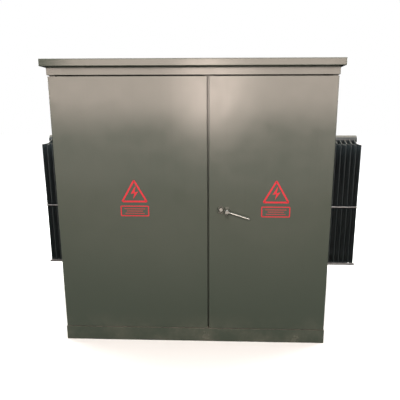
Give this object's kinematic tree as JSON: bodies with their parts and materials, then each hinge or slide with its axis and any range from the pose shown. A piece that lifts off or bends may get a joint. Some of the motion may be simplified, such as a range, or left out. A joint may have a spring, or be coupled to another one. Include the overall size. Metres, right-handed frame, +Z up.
{
  "type": "pad-mounted transformer",
  "caption": "Pad-mounted distribution transformer: two-door cable cabinet in front of an oil tank, with plate radiators on both sides.",
  "frame": {"origin": "centre of the footprint, on the ground", "axes": "+Z up, doors facing -Y, low voltage side towards +X"},
  "size_m": [2.98, 1.62, 2.095],
  "materials": {
    "cabinet_paint": "semi-gloss olive grey",
    "radiator_paint": "semi-gloss charcoal",
    "bare_steel": "satin",
    "zinc_plate": "bright zinc",
    "copper_alloy": "satin",
    "seal_rubber": "matte",
    "epoxy": "moulded epoxy",
    "porcelain": "glossy brown glaze",
    "sign_red": "vinyl",
    "handle_red": "gloss",
    "gauge_black": "gloss",
    "clear": "clear",
    "core_steel": "oiled laminated steel",
    "insulation": "oil-soaked kraft board"
  },
  "bodies": {
    "unit": {"base_rails": "cabinet_paint", "tank": "cabinet_paint", "tank_ribs": "cabinet_paint", "cover_gasket": "seal_rubber", "tank_cover": "cabinet_paint", "cover_bolts": "zinc_plate", "handhole_cover": "cabinet_paint", "lifting_lugs": "cabinet_paint", "radiator_pipes_left": "radiator_paint", "radiator_pipes_right": "radiator_paint", "radiator_plates_left": "radiator_paint", "radiator_plates_right": "radiator_paint", "radiator_ties": "bare_steel", "side_panel_left": "cabinet_paint", "side_panel_right": "cabinet_paint", "cabinet_back": "cabinet_paint", "rear_upper_plate": "cabinet_paint", "sill": "cabinet_paint", "header_rail": "cabinet_paint", "roof": "cabinet_paint", "barrier": "cabinet_paint", "hinge_brackets": "bare_steel", "hv_bushings": "seal_rubber", "parking_stands": "bare_steel", "fuse_housings": "epoxy", "spindle_glands": "bare_steel", "lv_bushings": "porcelain", "lv_spades": "copper_alloy", "neutral_strap": "copper_alloy", "ground_pads": "zinc_plate", "gauges": "gauge_black", "gauge_glasses": "clear", "relief_valve": "copper_alloy", "drain_valve": "copper_alloy", "core": "core_steel", "core_clamps": "cabinet_paint", "lv_coils": "copper_alloy", "hv_coils": "insulation"},
    "left_door": {"door_left": "cabinet_paint", "door_left_frame": "bare_steel", "door_bolt_guides": "bare_steel", "sign_left": "sign_red"},
    "right_door": {"door_right": "cabinet_paint", "door_right_frame": "bare_steel", "latch_guides": "bare_steel", "lock_fittings": "cabinet_paint", "sign_right": "sign_red"},
    "handle": {"door_handle": "zinc_plate"},
    "upper_latch": {"latch_rod_upper": "zinc_plate"},
    "lower_latch": {"latch_rod_lower": "zinc_plate"},
    "lock_screw": {"lock_bolt": "zinc_plate"},
    "upper_slide_bolt": {"door_bolt_upper": "zinc_plate"},
    "lower_slide_bolt": {"door_bolt_lower": "zinc_plate"},
    "fuse_1": {"fuse_holder_1": "zinc_plate"},
    "fuse_2": {"fuse_holder_2": "zinc_plate"},
    "fuse_3": {"fuse_holder_3": "zinc_plate"},
    "switch_lever": {"switch_handle": "handle_red"},
    "tap_knob": {"tap_handle": "zinc_plate"},
    "relief_pull": {"relief_ring": "zinc_plate"},
    "drain_arm": {"drain_lever": "zinc_plate"}
  },
  "joints": [
    {"name": "left_door_hinge", "type": "hinge", "parent": "unit", "child": "left_door", "pos_m": [-0.982, -0.725, 1.05], "axis": [0, 0, -1], "range_deg": [0, 120]},
    {"name": "right_door_hinge", "type": "hinge", "parent": "unit", "child": "right_door", "pos_m": [0.982, -0.725, 1.05], "axis": [0, 0, 1], "range_deg": [0, 120]},
    {"name": "handle_turn", "type": "hinge", "parent": "right_door", "child": "handle", "pos_m": [0.247, -0.745, 1.045], "axis": [0, -1, 0], "range_deg": [0, 90]},
    {"name": "upper_latch_slide", "type": "slide", "parent": "right_door", "child": "upper_latch", "axis": [0, 0, 1], "range_m": [0, 0.0397]},
    {"name": "lower_latch_slide", "type": "slide", "parent": "right_door", "child": "lower_latch", "axis": [0, 0, -1], "range_m": [0, 0.0397]},
    {"name": "lock_bolt_spin", "type": "hinge", "parent": "right_door", "child": "lock_screw", "pos_m": [0.204, -0.745, 1.053], "axis": [0, -1, 0], "continuous": true},
    {"name": "upper_bolt_slide", "type": "slide", "parent": "left_door", "child": "upper_slide_bolt", "axis": [0, 0, 1], "range_m": [0, 0.038]},
    {"name": "lower_bolt_slide", "type": "slide", "parent": "left_door", "child": "lower_slide_bolt", "axis": [0, 0, -1], "range_m": [0, 0.038]},
    {"name": "fuse_1_draw", "type": "slide", "parent": "unit", "child": "fuse_1", "axis": [0, -0.9397, 0.342], "range_m": [0, 0.28]},
    {"name": "fuse_2_draw", "type": "slide", "parent": "unit", "child": "fuse_2", "axis": [0, -0.9397, 0.342], "range_m": [0, 0.28]},
    {"name": "fuse_3_draw", "type": "slide", "parent": "unit", "child": "fuse_3", "axis": [0, -0.9397, 0.342], "range_m": [0, 0.28]},
    {"name": "switch_turn", "type": "hinge", "parent": "unit", "child": "switch_lever", "pos_m": [-0.139, -0.125, 1.34], "axis": [0, -1, 0], "range_deg": [0, 90]},
    {"name": "tap_turn", "type": "hinge", "parent": "unit", "child": "tap_knob", "pos_m": [-0.019, -0.125, 1.55], "axis": [0, 1, 0], "range_deg": [0, 144]},
    {"name": "relief_pull_slide", "type": "slide", "parent": "unit", "child": "relief_pull", "axis": [0, -1, 0], "range_m": [0, 0.008], "stiffness_N_per_m": 900},
    {"name": "drain_turn", "type": "hinge", "parent": "unit", "child": "drain_arm", "pos_m": [0.851, -0.19, 0.27], "axis": [0, 0, -1], "range_deg": [0, 90]}
  ],
  "couplings": [
    {"joint": "upper_latch_slide", "follows": "handle_turn", "m_per_rad": 0.0252},
    {"joint": "lower_latch_slide", "follows": "handle_turn", "m_per_rad": 0.0252}
  ]
}
